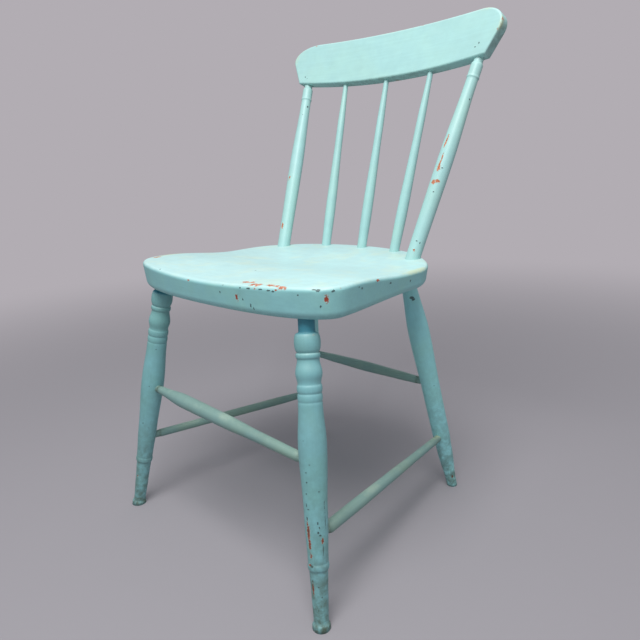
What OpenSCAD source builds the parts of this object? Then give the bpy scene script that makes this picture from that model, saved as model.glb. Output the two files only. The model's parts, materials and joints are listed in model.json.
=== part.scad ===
// Plank-seat kitchen chair with turned front legs, a spindle back and a bowed crest rail.
// Millimetres. Seen from the front, -X is the left side and +X the right. -Y is the front, +Z is up.
// The origin lies on the floor, in the middle of the chair's length and width.

/* [Seat] */
// Height of the rear deck above the floor
seat_height = 438; // [400:1:520]
// Widest width of the seat, just behind its front corners
seat_width = 450; // [430:1:560]
// Width of the seat where its rear corners begin to turn in
seat_rear_width = 418; // [390:1:440]
// Depth of the seat, from front edge to back edge
seat_depth = 382; // [365:1:460]
// Thickness of the plank at the rear deck
seat_thick = 34; // [32:1:48]
// How much higher the front corners stand than the rear deck
seat_front_rise = 10; // [0:1:14]
// Depth of the hollow worked into the top
seat_dish = 5; // [0:0.5:8]
// How far the lower edge is cut in under the sides of the seat
seat_undercut = 2.5; // [0:0.5:14]
// How far the widest place lies behind the front edge
seat_wide_back = 70; // [60:1:110]
// How far in from the sides the front corners begin to turn
seat_corner_in = 75; // [50:1:110]
// How far before the back edge the rear corners begin to turn in
seat_turn_back = 136; // [110:1:170]
// Rounding of the top edge
seat_top_round = 5.5; // [3:0.5:12]
// Rounding of the lower edge
seat_under_round = 13; // [2:0.5:15]

/* [Front legs] */
// Leg's axis at the seat, in from the seat's widest side
front_leg_inset_x = 55; // [50:1:75]
// Leg's axis at the seat, back from the front edge
front_leg_inset_y = 47; // [42:1:70]
// How far the foot stands out to the side of the leg's top
front_splay_x = 64; // [20:1:80]
// How far the foot stands forward of the leg's top
front_splay_y = 65; // [20:1:80]
// Radius of the neck, which is also the tenon in the seat
front_neck_r = 11.2; // [10:0.1:14]
// Radius of the ball below the neck
front_ball_r = 17.7; // [15:0.1:20]
// Radius of the three rings
front_ring_r = 16.8; // [15:0.1:20]
// Radius of the grooves beside the rings
front_groove_r = 15.2; // [13:0.1:17]
// Radius of the vase between the first and second rings
front_vase_r = 18; // [16:0.1:21]
// Radius of the shaft where it leaves the rings
front_shaft_r = 16.4; // [14:0.1:18]
// Radius of the shaft at its swell
front_swell_r = 19.4; // [16:0.1:22]
// Radius of the shaft above the lower ring
front_shin_r = 13.9; // [12:0.1:17]
// Radius of the lower ring
front_low_ring_r = 14.6; // [13:0.1:18]
// Radius of the ankle just below the lower ring
front_calf_r = 12.6; // [11:0.1:15]
// Radius of the ankle above the foot
front_ankle_r = 10.1; // [8:0.1:12]
// Radius of the foot ring, on the floor
front_foot_r = 12.4; // [11:0.1:16]
// Length of bare neck below the seat
front_neck_l = 21; // [14:1:26]
// Height of the shaft's swell above the floor, along the leg
front_swell_s = 245; // [225:1:255]
// Height of the lower ring's top above the floor, along the leg
front_low_ring_s = 91; // [70:1:100]
// How much higher the left leg's upper rings were turned
left_rings_lift = 14; // [0:1:16]
// How much higher the left leg's lower ring was turned
left_low_ring_lift = 8; // [0:1:12]

/* [Rear legs] */
// Leg's axis at the seat, in from the seat's rear corners
rear_leg_inset_x = 88; // [75:1:100]
// Leg's axis at the seat, forward of the back edge
rear_leg_inset_y = 48; // [42:1:60]
// How far the foot stands out to the side of the leg's top
rear_splay_x = 54; // [10:1:70]
// How far the foot stands back from the leg's top
rear_splay_y = 63; // [10:1:80]
// Radius at the top, which is also the tenon in the seat
rear_top_r = 12.6; // [10:0.1:14]
// Radius at the swell
rear_swell_r = 18.4; // [15:0.1:21]
// Radius half way down
rear_shaft_r = 16; // [13:0.1:18]
// Radius above the ankle
rear_calf_r = 14.8; // [12:0.1:17]
// Radius at the floor
rear_foot_r = 9; // [8:0.1:12]
// Height of the swell above the floor, along the leg
rear_swell_s = 305; // [280:1:320]

/* [Stretchers] */
// Height of the front stretcher on the left leg
front_rail_left_z = 228; // [200:1:240]
// Height of the front stretcher on the right leg
front_rail_right_z = 215; // [200:1:240]
// Height of the rear stretcher
rear_rail_z = 206; // [190:1:240]
// Height of the left stretcher on the front leg
left_rail_front_z = 132; // [115:1:150]
// Height of the right stretcher on the front leg
right_rail_front_z = 120; // [115:1:150]
// Height of the left stretcher on the rear leg
left_rail_rear_z = 109; // [95:1:150]
// Height of the right stretcher on the rear leg
right_rail_rear_z = 102; // [95:1:150]
// Radius of the stretchers' ends, in their sockets
rail_tenon_r = 6.2; // [5:0.1:7]
// Radii of the front stretcher a quarter, half and three quarters of the way from left to right
front_rail_r = [11.6, 11, 8.4]; // [7:0.1:13]
// Radii of the front stretcher close to its left and right legs
front_rail_end_r = [7.2, 7.6]; // [6.4:0.1:10]
// Radii of the rear stretcher a quarter, half and three quarters of the way from left to right
rear_rail_r = [8.3, 9.6, 8.2]; // [7:0.1:12]
// Radii of the rear stretcher close to its left and right legs
rear_rail_end_r = [6.8, 7.1]; // [6.4:0.1:10]
// Radii of the left stretcher a quarter, half and three quarters of the way back
left_rail_r = [7.2, 7.7, 7.9]; // [7:0.1:12]
// Radii of the left stretcher close to its front and rear legs
left_rail_end_r = [7, 6.9]; // [6.4:0.1:10]
// Radii of the right stretcher a quarter, half and three quarters of the way back
right_rail_r = [9.2, 8.3, 7.1]; // [7:0.1:12]
// Radii of the right stretcher close to its front and rear legs
right_rail_end_r = [8.9, 6.7]; // [6.4:0.1:10]
// How far each end stops short of the leg's own axis
rail_end_stop = 3; // [2:0.5:5]

/* [Back] */
// Height of the crest rail's lower edge above the rear deck, at the middle
back_height = 290; // [220:1:380]
// How far the crest rail's middle lies behind the back of the seat
back_overhang = 64; // [20:1:90]
// Post's axis on the deck, in from the seat's rear corners
post_inset_x = 57; // [48:1:66]
// Post's axis on the deck, forward of the back edge
post_inset_y = 73; // [66:1:80]
// Distance between the posts' axes at the crest rail
post_spread = 378; // [340:1:390]
// Middle spindle's axis on the deck, forward of the back edge
spindle_inset_y = 19; // [18:1:28]
// How far the outer spindles stand forward of the middle one
spindle_row_sag = 9; // [4:1:16]
// Distance between neighbouring spindles on the deck
spindle_pitch = 81; // [60:1:90]
// Distance between neighbouring spindles at the crest rail
spindle_pitch_top = 95.5; // [70:1:110]
// Radius of a post at the deck, which is also its tenon
post_base_r = 11.8; // [9:0.1:13]
// Radius of a post at its swell
post_swell_r = 12.8; // [11:0.1:15]
// Radius of a post under its collar
post_throat_r = 9.3; // [7:0.1:11]
// Radius of a post's collar
post_collar_r = 10.4; // [8:0.1:12]
// Radius of a post between its collar and the crest rail
post_cap_r = 9.7; // [8:0.1:11]
// Radius of a post's tenon in the crest rail
post_top_r = 7.6; // [5:0.1:8]
// Height of a post's swell above the deck, along the post
post_swell_s = 160; // [90:1:180]
// Distance from a post's collar to the crest rail
post_collar_drop = 25; // [18:1:40]
// Radius of a spindle at the deck, which is also its tenon
spindle_base_r = 8.4; // [6:0.1:9]
// Radius of a spindle at its swell
spindle_swell_r = 9.3; // [7:0.1:11]
// Radius of a spindle three quarters of the way up
spindle_slim_r = 6.7; // [5:0.1:8]
// Radius of a spindle at the crest rail, which is also its tenon
spindle_top_r = 4.6; // [3:0.1:5]
// Height of a spindle's swell above the deck, along the spindle
spindle_swell_s = 62; // [40:1:90]

/* [Crest rail] */
// Height of the board, along its lean
crest_height = 84; // [60:1:110]
// Thickness of the board
crest_thick = 21; // [19:0.5:26]
// Lean of the board from upright, in degrees
crest_lean = 20; // [14:0.5:24]
// Length of the board at its widest
crest_length = 452; // [440:1:480]
// Length of the board along its lower edge
crest_foot_length = 410; // [400:1:430]
// How far the board's ends are bowed forward of its middle
crest_bow = 14; // [6:1:20]
// How much the lower edge rises from its middle to its ends
crest_arch = 8; // [0:1:12]
// Reach of the rounded upper left corner along the board
crest_left_corner_x = 58; // [30:1:70]
// Reach of the rounded upper right corner along the board
crest_right_corner_x = 42; // [30:1:70]
// Reach of the rounded upper corners down the board
crest_corner_z = 30; // [15:1:40]

/* [Fits] */
// Depth of the leg tenons in the seat
leg_tenon_l = 25; // [18:1:26]
// Depth of the post and spindle tenons in the seat
back_tenon_l = 26; // [18:1:28]
// Depth of the post tenons in the crest rail
post_tenon_l = 32; // [20:1:36]
// Depth of the spindle tenons in the crest rail
spindle_tenon_l = 20; // [12:1:26]
// Glue gap round a tenon
glue_gap = 0.15; // [0.1:0.05:0.3]
// Gap at the end of a tenon
end_gap = 0.5; // [0.2:0.1:1]

/* [Hidden] */

LEFT = -1;
RIGHT = 1;
PAINT = [0.45, 0.72, 0.71];
PAINT_PALE = [0.74, 0.9, 0.87];
ROUND_FN = 64;
OUTLINE_STEPS = 14;
BEAD_STEPS = 8;
SHAFT_STEPS = 5;
CORNER_STEPS = 10;
// Straight length at the bottom of a leg, so that the floor cuts it square to one band
foot_band = 4.5;
// Turn of each round piece about its own axis
own_turn = 50;
// Length over which a stretcher swells out from its socket
rail_shoulder = 10;
// Length of a tool that is long enough to pass through any piece
CUT = 80;

// ---- places, measured from the middle of the seat's depth ----
seat_under = seat_height - seat_thick;
y_front = -seat_depth / 2;
y_back = seat_depth / 2;

front_top = [seat_width / 2 - front_leg_inset_x, y_front + front_leg_inset_y, seat_under];
front_foot = [front_top.x + front_splay_x, front_top.y - front_splay_y, 0];
rear_top = [seat_rear_width / 2 - rear_leg_inset_x, y_back - rear_leg_inset_y, seat_under];
rear_foot = [rear_top.x + rear_splay_x, rear_top.y + rear_splay_y, 0];
front_leg_l = norm(front_top - front_foot);
rear_leg_l = norm(rear_top - rear_foot);

crest_base_y = y_back + back_overhang;
crest_base_z = seat_height + back_height;
// Drop of the crest rail's bow and rise of its arch at a distance x from its middle
function crest_sag(x) = crest_bow * pow(2 * x / crest_foot_length, 2);
function crest_rise(x) = crest_arch * pow(2 * x / crest_foot_length, 2);
// Point on the middle of the crest rail's lower edge at x
function crest_seat(x) = [
    x,
    crest_base_y - crest_sag(x) + sin(crest_lean) * crest_rise(x),
    crest_base_z + cos(crest_lean) * crest_rise(x)
];

post_base = [seat_rear_width / 2 - post_inset_x, y_back - post_inset_y, seat_height];
post_top = crest_seat(post_spread / 2);
post_l = norm(post_top - post_base);
function spindle_base(i) = [i * spindle_pitch, y_back - spindle_inset_y - abs(i) * spindle_row_sag, seat_height];
function spindle_top(i) = crest_seat(i * spindle_pitch_top);

// The point of a piece on the other side of the chair
function side(p, s) = [s * p.x, p.y, p.z];
// The point at height z on the line from p up to q
function at_height(p, q, z) = p + (q - p) * (z - p.z) / (q.z - p.z);

// ---- curves ----
function ease(t) = (1 - cos(180 * t)) / 2;
// Stations [s, r] joined by soft S-curves
function flow(st) = concat(
    [for (i = [0 : len(st) - 2]) for (k = [0 : SHAFT_STEPS - 1]) let (t = k / SHAFT_STEPS)
        [st[i][0] + (st[i + 1][0] - st[i][0]) * t, st[i][1] + (st[i + 1][1] - st[i][1]) * ease(t)]],
    [st[len(st) - 1]]
);
// A bead from s0 to s1 with the section of half an ellipse, from radius r0 out to r1
function bead(s0, s1, r0, r1) = [
    for (k = [0 : BEAD_STEPS]) let (a = 180 * k / BEAD_STEPS)
        [s0 + (s1 - s0) * (1 - cos(a)) / 2, r0 + (r1 - r0) * sin(a)]
];
function bezier(a, b, c, d, t) =
    pow(1 - t, 3) * a + 3 * t * pow(1 - t, 2) * b + 3 * t * t * (1 - t) * c + t * t * t * d;

// ---- profiles of the turned pieces, as [distance along the axis, radius] ----
// The drops of the upper rings are counted down from the seat
function front_leg_profile(lift, low_lift) = let (
    top = front_leg_l,
    u = front_leg_l - front_neck_l + lift,
    neck = min(u, top - 6),
    g = front_groove_r,
    low = front_low_ring_s + low_lift
) concat(
    [[-12, front_foot_r]],
    flow([[foot_band, front_foot_r], [foot_band + 4.5, front_ankle_r]]),
    flow([[foot_band + 5, front_ankle_r], [46 + low_lift / 2, front_ankle_r + 1.3], [low - 12, front_calf_r]]),
    bead(low - 11, low - 1, front_shin_r - 0.7, front_low_ring_r),
    flow([
        [low - 0.5, front_shin_r],
        [150, front_shin_r + 2],
        [front_swell_s, front_swell_r],
        [u - 91, front_shaft_r]
    ]),
    bead(u - 90, u - 79, g + 0.4, front_ring_r),
    bead(u - 78.5, u - 67.5, g + 0.4, front_ring_r + 0.2),
    flow([[u - 66.5, g + 0.4], [u - 53, front_vase_r], [u - 34.5, g - 0.4]]),
    bead(u - 33.5, u - 26, g - 0.4, front_ring_r - 0.3),
    bead(u - 25.5, neck, g - 1.2, front_ball_r),
    [[neck + 0.5, front_neck_r], [top + leg_tenon_l, front_neck_r]]
);
rear_leg_profile = concat([[-12, rear_foot_r]], flow([
    [foot_band, rear_foot_r],
    [78, rear_calf_r - 1],
    [110, rear_calf_r + 0.6],
    [190, rear_shaft_r],
    [rear_swell_s, rear_swell_r],
    [rear_leg_l - 12, rear_top_r]
]), [[rear_leg_l + leg_tenon_l, rear_top_r]]);
post_profile = concat(
    [[-back_tenon_l, post_base_r]],
    flow([
        [2, post_base_r],
        [post_swell_s, post_swell_r],
        [post_l - post_collar_drop - 5, post_throat_r]
    ]),
    bead(post_l - post_collar_drop - 3, post_l - post_collar_drop + 1, post_throat_r, post_collar_r),
    flow([
        [post_l - post_collar_drop + 1.5, post_cap_r],
        [post_l - 6, post_cap_r],
        [post_l - 1.5, post_top_r]
    ]),
    [[post_l + post_tenon_l, post_top_r]]
);
function spindle_profile(length) = concat([[-back_tenon_l, spindle_base_r]], flow([
    [1, spindle_base_r],
    [spindle_swell_s, spindle_swell_r],
    [length * 0.72, spindle_slim_r],
    [length - 2, spindle_top_r]
]), [[length + spindle_tenon_l, spindle_top_r]]);
// A stretcher between two leg axes a length apart; grip is the leg's radius there
function rail_profile(length, grip, r, end_r) = concat([[rail_end_stop, rail_tenon_r]], flow([
    [grip, rail_tenon_r],
    [grip + rail_shoulder, end_r[0]],
    [length * 0.25, r[0]],
    [length * 0.5, r[1]],
    [length * 0.75, r[2]],
    [length - grip - rail_shoulder, end_r[1]],
    [length - grip, rail_tenon_r]
]), [[length - rail_end_stop, rail_tenon_r]]);

// ---- placing ----
// Puts a piece that stands on +Z on the line from p towards q
module along(p, q) {
    d = q - p;
    translate(p)
        rotate([0, acos(d.z / norm(d)), atan2(d.y, d.x)])
            rotate([0, 0, own_turn])
                children();
}
module turned(profile) {
    last = len(profile) - 1;
    rotate_extrude($fn = ROUND_FN)
        polygon(concat([[0, profile[0][0]]], [for (p = profile) [p[1], p[0]]], [[0, profile[last][0]]]));
}
// A socket of radius r along p to q, from s0 to s1
module socket(p, q, s0, s1, r) {
    along(p, q) translate([0, 0, s0]) cylinder(h = s1 - s0, r = r + glue_gap, $fn = ROUND_FN);
}

// ---- centring on the floor ----
// Least y that a turned piece on the line p to q reaches, where the floor cuts its foot or above
function turned_min_y(p, q, profile) = let (a = (q - p) / norm(q - p), k = sqrt(1 - a.y * a.y)) min(
    p.y - profile[0][1] * sqrt(1 - a.x * a.x) / a.z,
    min([for (st = profile) if (st[0] >= 0) p.y + a.y * st[0] - k * st[1]])
);
y_least = min(y_front, turned_min_y(front_foot, front_top, front_leg_profile(0, 0)));
y_most = crest_base_y + crest_thick / 2 * cos(crest_lean) + crest_height * sin(crest_lean);
y_shift = -(y_least + y_most) / 2;
module chair_frame() {
    translate([0, y_shift, 0]) children();
}

// ---- seat ----
// Half of the outline, from the middle of the front edge round to the middle of the back edge
half_w = seat_width / 2;
rear_w = seat_rear_width / 2;
wide_y = y_front + seat_wide_back;
turn_y = y_back - seat_turn_back;
// Middle of the rear corner, and the direction in which the outline runs through it
rear_corner = [rear_w - 60, y_back - 46];
corner_run = [-cos(43), sin(43)];
seat_side = [
    [[0, y_front], [half_w - seat_corner_in, y_front], [half_w, wide_y - 45], [half_w, wide_y]],
    [[half_w, wide_y], [half_w, wide_y + 40], [rear_w, turn_y - 50], [rear_w, turn_y]],
    [[rear_w, turn_y], [rear_w, turn_y + 40], rear_corner - 36 * corner_run, rear_corner],
    [rear_corner, rear_corner + 40 * corner_run, [60, y_back], [0, y_back]]
];
right_half = [
    for (seg = seat_side) for (k = [0 : OUTLINE_STEPS - 1]) bezier(seg[0], seg[1], seg[2], seg[3], k / OUTLINE_STEPS)
];
left_half = [for (i = [len(right_half) - 1 : -1 : 1]) [-right_half[i].x, right_half[i].y]];
outline = concat(right_half, [[0, y_back]], left_half);
n_out = len(outline);
// Unit normals that point out of the outline
function out_normal(i) = let (
    t = outline[(i + 1) % n_out] - outline[(i + n_out - 1) % n_out]
) [t.y, -t.x] / norm(t);
function inset_outline(d) = [for (i = [0 : n_out - 1]) outline[i] - d * out_normal(i)];
function clamp01(t) = min(1, max(0, t));
// Height of the worked top: level at the deck, dipping in the middle, rising to the front
function dish_at(x, y) = seat_dish
    * (1 + cos(180 * clamp01(abs(x) / (half_w * 0.92)))) / 2
    * (1 - ease(clamp01((y - y_back + 170) / 90)));
function top_z(x, y) = seat_height
    + (seat_front_rise + 2) * ease(clamp01((40 - y) / 150))
    - 2 * ease(clamp01((y_back - 70 - y) / 60))
    - dish_at(x, y);
ROUND_STEPS = 4;
TOP_RINGS = [0.93, 0.84, 0.72, 0.58, 0.42, 0.24];
seat_centre = [0, 0];
under_rings = [
    for (k = [0 : ROUND_STEPS]) let (a = 90 * k / ROUND_STEPS) [
        for (p = inset_outline(seat_undercut + seat_under_round * (1 - sin(a))))
            [p.x, p.y, seat_under + seat_under_round * (1 - cos(a))]
    ]
];
edge_rings = [
    for (k = [0 : ROUND_STEPS]) let (a = 90 * k / ROUND_STEPS) [
        for (p = inset_outline(seat_top_round * (1 - cos(a))))
            [p.x, p.y, top_z(p.x, p.y) - seat_top_round * (1 - sin(a))]
    ]
];
rim = inset_outline(seat_top_round);
top_rings = [
    for (f = TOP_RINGS) [
        for (p = rim) let (q = seat_centre + f * (p - seat_centre)) [q.x, q.y, top_z(q.x, q.y)]
    ]
];
seat_rings = concat(under_rings, edge_rings, top_rings);
module seat_blank() {
    rings = len(seat_rings);
    points = concat(
        [for (ring = seat_rings) each ring],
        [[0, 0, seat_under], [0, 0, top_z(0, 0)]]
    );
    low = rings * n_out;
    high = low + 1;
    walls = [
        for (j = [0 : rings - 2]) for (i = [0 : n_out - 1]) let (
            a = j * n_out + i,
            b = j * n_out + (i + 1) % n_out
        ) each [[a, a + n_out, b], [b, a + n_out, b + n_out]]
    ];
    floor_fan = [for (i = [0 : n_out - 1]) [low, i, (i + 1) % n_out]];
    top_fan = [
        for (i = [0 : n_out - 1]) [high, (rings - 1) * n_out + (i + 1) % n_out, (rings - 1) * n_out + i]
    ];
    polyhedron(points = points, faces = concat(walls, floor_fan, top_fan));
}
module seat() {
    color(PAINT_PALE) chair_frame() difference() {
        seat_blank();
        for (s = [LEFT, RIGHT]) {
            socket(side(front_foot, s), side(front_top, s),
                front_leg_l - CUT, front_leg_l + leg_tenon_l + end_gap, front_neck_r);
            socket(side(rear_foot, s), side(rear_top, s),
                rear_leg_l - CUT, rear_leg_l + leg_tenon_l + end_gap, rear_top_r);
            socket(side(post_base, s), side(post_top, s), -back_tenon_l - end_gap, CUT, post_base_r);
        }
        for (i = [-1 : 1])
            socket(spindle_base(i), spindle_top(i), -back_tenon_l - end_gap, CUT, spindle_base_r);
    }
}

// ---- stretchers ----
front_rail = [
    at_height(side(front_foot, LEFT), side(front_top, LEFT), front_rail_left_z),
    at_height(front_foot, front_top, front_rail_right_z)
];
rear_rail = [for (s = [LEFT, RIGHT]) at_height(side(rear_foot, s), side(rear_top, s), rear_rail_z)];
left_rail = [
    at_height(side(front_foot, LEFT), side(front_top, LEFT), left_rail_front_z),
    at_height(side(rear_foot, LEFT), side(rear_top, LEFT), left_rail_rear_z)
];
right_rail = [
    at_height(front_foot, front_top, right_rail_front_z),
    at_height(rear_foot, rear_top, right_rail_rear_z)
];
module stretcher(rail, grip, r, end_r) {
    color(PAINT) chair_frame() along(rail[0], rail[1])
        turned(rail_profile(norm(rail[1] - rail[0]), grip, r, end_r));
}
// The socket that a stretcher needs in the leg at its first end
module rail_socket(rail) {
    socket(rail[0], rail[1], rail_end_stop - end_gap, CUT, rail_tenon_r);
}
function turned_round(rail) = [rail[1], rail[0]];

// ---- legs ----
module leg(foot, top, profile, rails) {
    color(PAINT) chair_frame() difference() {
        along(foot, top) turned(profile);
        translate([foot.x - CUT / 2, foot.y - CUT / 2, -CUT]) cube(CUT);
        for (rail = rails) rail_socket(rail);
    }
}
module leg_front_left() {
    leg(side(front_foot, LEFT), side(front_top, LEFT),
        front_leg_profile(left_rings_lift, left_low_ring_lift), [front_rail, left_rail]);
}
module leg_front_right() {
    leg(front_foot, front_top, front_leg_profile(0, 0), [turned_round(front_rail), right_rail]);
}
module leg_rear_left() {
    leg(side(rear_foot, LEFT), side(rear_top, LEFT), rear_leg_profile, [rear_rail, turned_round(left_rail)]);
}
module leg_rear_right() {
    leg(rear_foot, rear_top, rear_leg_profile, [turned_round(rear_rail), turned_round(right_rail)]);
}

// ---- back ----
module back_post(s) {
    color(PAINT) chair_frame() along(side(post_base, s), side(post_top, s)) turned(post_profile);
}
module spindle(i) {
    color(PAINT) chair_frame() along(spindle_base(i), spindle_top(i))
        turned(spindle_profile(norm(spindle_top(i) - spindle_base(i))));
}

// ---- crest rail ----
// Outline of the board's face, x along it and y up it, from its lower edge
crest_half = crest_length / 2;
crest_foot_half = crest_foot_length / 2;
// Half of it, from the middle of the lower edge out to the end and round a corner of the given reach,
// which is part of an ellipse that starts in line with the straight end
function crest_side(reach) = let (
    cx = crest_half - reach,
    cz = crest_height - crest_corner_z,
    end = [(crest_foot_half - cx) / reach, (crest_arch - cz) / crest_corner_z],
    first = atan2(end.y, end.x) + acos(1 / norm(end))
) concat(
    [for (k = [0 : CORNER_STEPS]) let (x = crest_foot_half * k / CORNER_STEPS) [x, crest_rise(x)]],
    [for (k = [0 : CORNER_STEPS]) let (a = first + (90 - first) * k / CORNER_STEPS)
        [cx + reach * cos(a), cz + crest_corner_z * sin(a)]]
);
crest_right = crest_side(crest_right_corner_x);
crest_left = crest_side(crest_left_corner_x);
crest_outline = concat(crest_right, [for (i = [len(crest_left) - 1 : -1 : 1]) [-crest_left[i].x, crest_left[i].y]]);
// Radius of the bow, from its sagitta over half of the lower edge
bow_r = (pow(crest_foot_half, 2) + pow(crest_bow, 2)) / (2 * crest_bow);
module crest_board() {
    intersection() {
        translate([0, -bow_r, -CUT / 2]) difference() {
            cylinder(h = crest_height + CUT, r = bow_r + crest_thick / 2, $fn = 360);
            translate([0, 0, -1]) cylinder(h = crest_height + CUT + 2, r = bow_r - crest_thick / 2, $fn = 360);
        }
        rotate([90, 0, 0]) linear_extrude(height = 2 * CUT, center = true) polygon(crest_outline);
    }
}
module crest_rail() {
    color(PAINT) chair_frame() difference() {
        translate([0, crest_base_y, crest_base_z]) rotate([-crest_lean, 0, 0]) crest_board();
        for (s = [LEFT, RIGHT])
            socket(side(post_base, s), side(post_top, s), post_l - CUT, post_l + post_tenon_l + end_gap, post_top_r);
        for (i = [-1 : 1]) let (l = norm(spindle_top(i) - spindle_base(i)))
            socket(spindle_base(i), spindle_top(i), l - CUT, l + spindle_tenon_l + end_gap, spindle_top_r);
    }
}

seat();
leg_front_left();
leg_front_right();
leg_rear_left();
leg_rear_right();
stretcher(front_rail, 21, front_rail_r, front_rail_end_r);  // stretcher_front
stretcher(rear_rail, 20, rear_rail_r, rear_rail_end_r);  // stretcher_rear
stretcher(left_rail, 19, left_rail_r, left_rail_end_r);  // stretcher_left
stretcher(right_rail, 19, right_rail_r, right_rail_end_r);  // stretcher_right
back_post(LEFT);  // back_post_left
back_post(RIGHT);  // back_post_right
spindle(-1);  // spindle_left
spindle(0);  // spindle_middle
spindle(1);  // spindle_right
crest_rail();
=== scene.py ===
# %% [markdown]
# # A peeling, painted kitchen chair
# The real chair is a plank seat on four turned legs, with four stretchers, two back posts,
# three spindles and a bowed crest rail. Somebody has brushed turquoise paint over an older
# brick-red coat, and it has chipped where people knock and rub it. The CAD model is loaded
# first as a fixed frame, and every size below is either read from it or repeats its values.

# %% Load the CAD frame
import json
import math

import bmesh
import bpy
import numpy as np
from mathutils import Matrix, Vector

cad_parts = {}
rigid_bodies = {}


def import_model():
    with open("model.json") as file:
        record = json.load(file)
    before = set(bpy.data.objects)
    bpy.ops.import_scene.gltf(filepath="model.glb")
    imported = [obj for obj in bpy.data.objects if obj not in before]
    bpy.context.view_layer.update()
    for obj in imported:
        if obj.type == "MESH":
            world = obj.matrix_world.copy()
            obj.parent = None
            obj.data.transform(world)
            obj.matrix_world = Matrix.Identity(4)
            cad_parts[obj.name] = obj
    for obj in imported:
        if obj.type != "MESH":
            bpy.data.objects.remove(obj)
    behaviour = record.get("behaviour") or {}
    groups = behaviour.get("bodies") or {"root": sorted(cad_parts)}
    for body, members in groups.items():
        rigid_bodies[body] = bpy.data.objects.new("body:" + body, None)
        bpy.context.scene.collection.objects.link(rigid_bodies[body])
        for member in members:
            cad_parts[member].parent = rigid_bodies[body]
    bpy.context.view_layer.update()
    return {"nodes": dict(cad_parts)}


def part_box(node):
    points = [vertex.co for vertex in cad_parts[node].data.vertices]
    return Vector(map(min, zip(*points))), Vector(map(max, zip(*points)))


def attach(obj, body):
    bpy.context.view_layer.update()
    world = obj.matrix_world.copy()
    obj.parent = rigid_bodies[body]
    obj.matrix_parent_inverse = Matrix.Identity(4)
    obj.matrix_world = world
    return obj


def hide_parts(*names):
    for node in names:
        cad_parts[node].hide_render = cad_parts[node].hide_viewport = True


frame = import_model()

MM = 0.001
UP = np.array([0.0, 0.0, 1.0])
FRONT = np.array([0.0, -1.0, 0.0])

# %% [markdown]
# ## The camera
# The camera stands to the right of the chair's front, a little above the seat, and looks
# slightly down. Its place was solved from the straight lines of the chair. It isn't quite
# level, so it has a small roll.

# %% Camera
CAMERA_PLACE = (0.7133, -0.7056, 0.6063)
CAMERA_YAW, CAMERA_PITCH, CAMERA_ROLL = 44.59, -15.39, -2.835
LENS_MM, SENSOR_MM = 33.9, 36.0


def camera_axes(yaw, pitch, roll):
    """Right, up and backward axes: turn by yaw from +Y towards -X, tip by pitch, then roll."""
    yaw, pitch, roll = np.radians([yaw, pitch, roll])
    ahead = np.array([-np.sin(yaw) * np.cos(pitch), np.cos(yaw) * np.cos(pitch), np.sin(pitch)])
    right = np.cross(ahead, UP)
    right /= np.linalg.norm(right)
    over = np.cross(right, ahead)
    turned_right = right * np.cos(roll) + over * np.sin(roll)
    return turned_right, np.cross(turned_right, ahead), -ahead


camera = bpy.data.objects.new("camera", bpy.data.cameras.new("camera"))
bpy.context.scene.collection.objects.link(camera)
pose = np.eye(4)
pose[:3, :3] = np.stack(camera_axes(CAMERA_YAW, CAMERA_PITCH, CAMERA_ROLL), axis=1)
pose[:3, 3] = CAMERA_PLACE
camera.matrix_world = Matrix(pose.tolist())
camera.data.lens = LENS_MM
camera.data.sensor_width = SENSOR_MM
camera.data.clip_start = 0.01
bpy.context.scene.camera = camera
print("camera at", CAMERA_PLACE, "lens", LENS_MM, "mm")

# %% [markdown]
# ## Meshes from grids
# Every new piece is a grid of points worked out with numpy: one direction runs round the piece
# and closes on itself, the other runs from one end to the other. One helper turns such a grid
# into a closed mesh with an end point on each end, so no piece has a hole or a seam.


# %% Helpers for grids
def tube_faces(rows, around):
    """Quads between neighbouring rings of a grid that closes round, and a fan on each end."""
    ring, place = np.meshgrid(np.arange(rows - 1), np.arange(around), indexing="ij")
    after = (place + 1) % around
    quads = np.stack([ring * around + place, ring * around + after,
                      (ring + 1) * around + after, (ring + 1) * around + place], axis=-1)
    first, step = np.arange(around), (np.arange(around) + 1) % around
    low, high, top = rows * around, rows * around + 1, (rows - 1) * around
    start_fan = np.stack([step, first, np.full(around, low)], axis=-1)
    end_fan = np.stack([top + first, top + step, np.full(around, high)], axis=-1)
    return quads.reshape(-1, 4), np.concatenate([start_fan, end_fan])


def signed_volume(points, quads):
    """Sum of the volumes of wedges from the middle to each face: above 0 if faces point out."""
    a, b, c, d = (points[quads[:, k]] - points.mean(axis=0) for k in range(4))
    return float((a * np.cross(b, c)).sum() + (a * np.cross(c, d)).sum())


def mesh_object(name, points, quads, triangles):
    """Puts arrays of points, four-sided faces and three-sided faces into one smooth mesh.

    If the signed volume is below 0, every face is turned over, so that all of them point out.
    """
    if signed_volume(points, quads) < 0:
        quads, triangles = quads[:, ::-1], triangles[:, ::-1]
    mesh = bpy.data.meshes.new(name)
    loops = np.concatenate([quads.ravel(), triangles.ravel()]).astype(np.int32)
    sizes = np.concatenate([np.full(len(quads), 4), np.full(len(triangles), 3)])
    starts = np.concatenate([[0], np.cumsum(sizes)[:-1]]).astype(np.int32)
    mesh.vertices.add(len(points))
    mesh.vertices.foreach_set("co", points.astype(np.float32).ravel())
    mesh.loops.add(len(loops))
    mesh.loops.foreach_set("vertex_index", loops)
    mesh.polygons.add(len(sizes))
    mesh.polygons.foreach_set("loop_start", starts)
    mesh.polygons.foreach_set("use_smooth", np.ones(len(sizes), bool))
    mesh.update(calc_edges=True)
    mesh.validate()
    piece = bpy.data.objects.new(name, mesh)
    bpy.context.scene.collection.objects.link(piece)
    return piece


def with_ends(values):
    """A grid's values as one list, with the average of its first and of its last ring added."""
    flat = values.reshape(values.shape[0] * values.shape[1], -1)
    return np.concatenate([flat, values[[0, -1]].mean(axis=1).reshape(2, -1)])


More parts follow.
